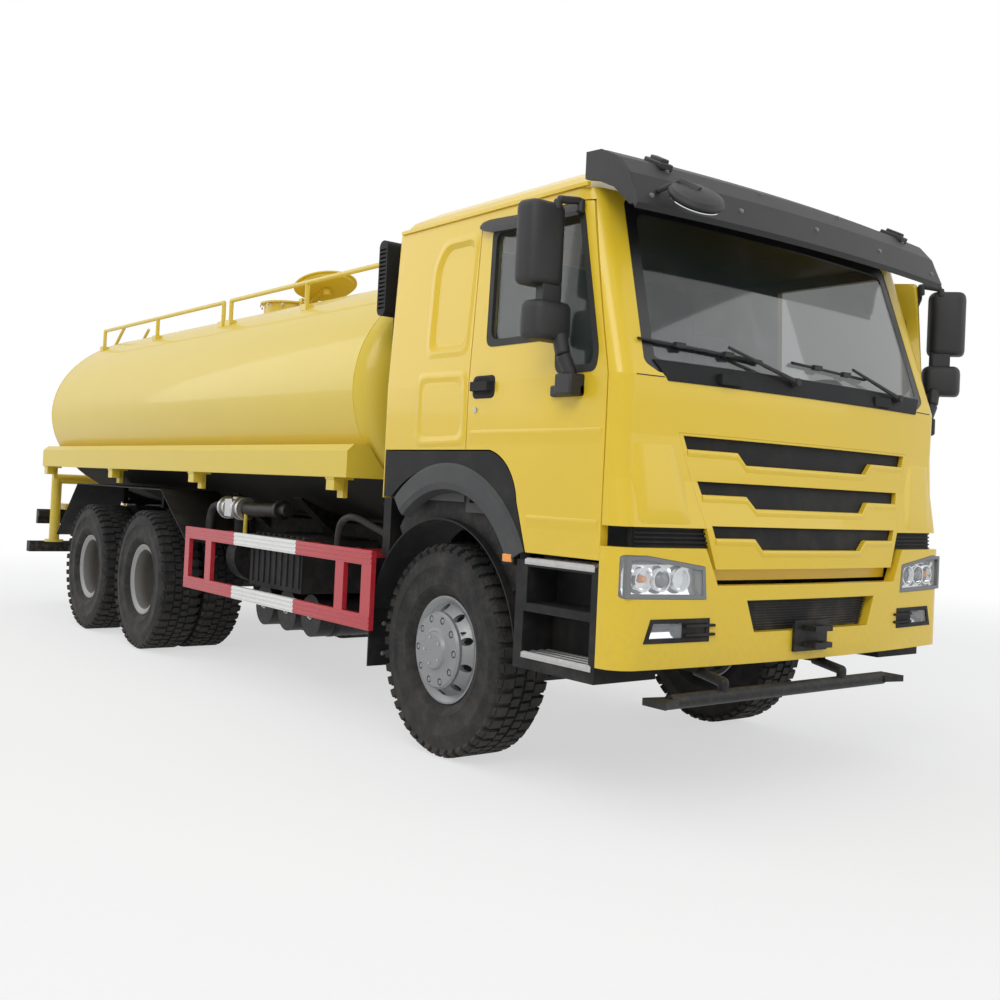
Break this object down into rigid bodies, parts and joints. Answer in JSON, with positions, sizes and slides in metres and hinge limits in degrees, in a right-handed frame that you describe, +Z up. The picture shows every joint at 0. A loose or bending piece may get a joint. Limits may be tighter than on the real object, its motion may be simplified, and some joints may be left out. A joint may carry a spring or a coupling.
{
  "type": "three-axle water tanker truck",
  "caption": "Yellow cab-over tanker with a tilting sleeper cab, an oval water tank, a driven twin-wheel bogie, spray outlets and a steered front axle.",
  "frame": {"origin": "middle of the bounding box's footprint, on the road under the tyres", "axes": "+X forwards along the truck, +Y to the truck's left, +Z up"},
  "size_m": [9.515, 3.5552, 3.1779],
  "materials": {
    "yellow_paint": "gloss",
    "black_paint": "satin",
    "frame_paint": "satin",
    "engine_metal": "matt",
    "axle_iron": "matt",
    "rubber_tyre": "matt",
    "silver_wheel": "satin",
    "black_plastic": "textured",
    "clear_glass": "gloss",
    "lamp_lens": "gloss",
    "tail_lens": "gloss",
    "red_white_paint": "gloss",
    "grey_trim": "matt",
    "seat_fabric": "woven",
    "silver_steel": "satin"
  },
  "bodies": {
    "chassis": {"chassis_frame": "frame_paint", "engine_block": "engine_metal", "front_axle": "axle_iron", "leaf_springs": "frame_paint", "rear_axles": "axle_iron", "propshafts": "frame_paint", "fuel_tank": "silver_steel", "battery_box": "black_plastic", "air_tanks": "black_paint", "water_pump": "black_paint", "side_guards": "red_white_paint", "front_mudguards": "black_plastic", "rear_mudguards": "black_plastic", "water_tank": "yellow_paint", "tank_subframe": "frame_paint", "tank_skirts": "yellow_paint", "top_rails": "yellow_paint", "rear_pipework": "yellow_paint", "tail_lamps": "tail_lens", "underrun_bar": "frame_paint", "spray_bar": "black_paint", "bumper": "yellow_paint", "front_lamps": "lamp_lens", "cab_steps": "black_plastic", "tow_bracket": "grey_trim", "air_intake": "black_plastic"},
    "cab": {"cab_body": "yellow_paint", "cab_roof": "yellow_paint", "cab_front_panel": "yellow_paint", "grille": "yellow_paint", "grille_mesh": "black_plastic", "windscreen": "clear_glass", "cab_floor": "grey_trim", "cab_arch_trim": "black_plastic", "sun_visor": "black_plastic", "dashboard": "grey_trim", "seats_and_bunk": "seat_fabric", "steering_wheel": "grey_trim"},
    "left_door": {"door_left": "yellow_paint", "door_glass_left": "clear_glass", "mirror_left": "black_plastic"},
    "right_door": {"door_right": "yellow_paint", "door_glass_right": "clear_glass", "mirror_right": "black_plastic"},
    "lid": {"manhole_lid": "yellow_paint"},
    "left_knuckle": {"knuckle_left": "axle_iron"},
    "right_knuckle": {"knuckle_right": "axle_iron"},
    "tie_bar": {"tie_rod": "axle_iron"},
    "front_left_wheel": {"front_tyre_left": "rubber_tyre", "front_wheel_left": "silver_wheel"},
    "front_right_wheel": {"front_tyre_right": "rubber_tyre", "front_wheel_right": "silver_wheel"},
    "middle_left_wheels": {"middle_tyres_left": "rubber_tyre", "middle_wheels_left": "silver_wheel"},
    "middle_right_wheels": {"middle_tyres_right": "rubber_tyre", "middle_wheels_right": "silver_wheel"},
    "rear_left_wheels": {"rear_tyres_left": "rubber_tyre", "rear_wheels_left": "silver_wheel"},
    "rear_right_wheels": {"rear_tyres_right": "rubber_tyre", "rear_wheels_right": "silver_wheel"}
  },
  "joints": [
    {"name": "cab_tilt", "type": "hinge", "parent": "chassis", "child": "cab", "pos_m": [4.4975, -0.27963, 1.16], "axis": [0, 1, 0], "range_deg": [0, 45]},
    {"name": "left_door_hinge", "type": "hinge", "parent": "cab", "child": "left_door", "pos_m": [4.3815, 0.95837, 1.9], "axis": [0, 0, -1], "range_deg": [-52, 16]},
    {"name": "right_door_hinge", "type": "hinge", "parent": "cab", "child": "right_door", "pos_m": [4.3815, -1.51763, 1.9], "axis": [0, 0, 1], "range_deg": [0, 68]},
    {"name": "lid_hinge", "type": "hinge", "parent": "chassis", "child": "lid", "pos_m": [-0.9285, -0.27963, 2.987], "axis": [0, 1, 0], "range_deg": [-161, 0]},
    {"name": "left_steer", "type": "hinge", "parent": "chassis", "child": "left_knuckle", "pos_m": [3.0775, 0.57037, 0.5625], "axis": [0, 0, 1], "range_deg": [-30, 30]},
    {"name": "right_steer", "type": "hinge", "parent": "chassis", "child": "right_knuckle", "pos_m": [3.0775, -1.12963, 0.5625], "axis": [0, 0, 1], "range_deg": [-30, 30]},
    {"name": "tie_rod_ball", "type": "hinge", "parent": "left_knuckle", "child": "tie_bar", "pos_m": [2.8475, 0.57037, 0.4625], "axis": [0, 0, 1], "range_deg": [-30, 30]},
    {"name": "front_left_spin", "type": "hinge", "parent": "left_knuckle", "child": "front_left_wheel", "pos_m": [3.0775, 0.73137, 0.5625], "axis": [0, 1, 0], "continuous": true},
    {"name": "middle_left_spin", "type": "hinge", "parent": "chassis", "child": "middle_left_wheels", "pos_m": [-1.2225, 0.63537, 0.5625], "axis": [0, 1, 0], "continuous": true},
    {"name": "rear_left_spin", "type": "hinge", "parent": "chassis", "child": "rear_left_wheels", "pos_m": [-2.5725, 0.63537, 0.5625], "axis": [0, 1, 0], "continuous": true},
    {"name": "front_right_spin", "type": "hinge", "parent": "right_knuckle", "child": "front_right_wheel", "pos_m": [3.0775, -1.29063, 0.5625], "axis": [0, 1, 0], "continuous": true},
    {"name": "middle_right_spin", "type": "hinge", "parent": "chassis", "child": "middle_right_wheels", "pos_m": [-1.2225, -1.19463, 0.5625], "axis": [0, 1, 0], "continuous": true},
    {"name": "rear_right_spin", "type": "hinge", "parent": "chassis", "child": "rear_right_wheels", "pos_m": [-2.5725, -1.19463, 0.5625], "axis": [0, 1, 0], "continuous": true}
  ],
  "couplings": [
    {"joint": "right_steer", "follows": "left_steer", "ratio": 1},
    {"joint": "tie_rod_ball", "follows": "left_steer", "ratio": -1}
  ]
}
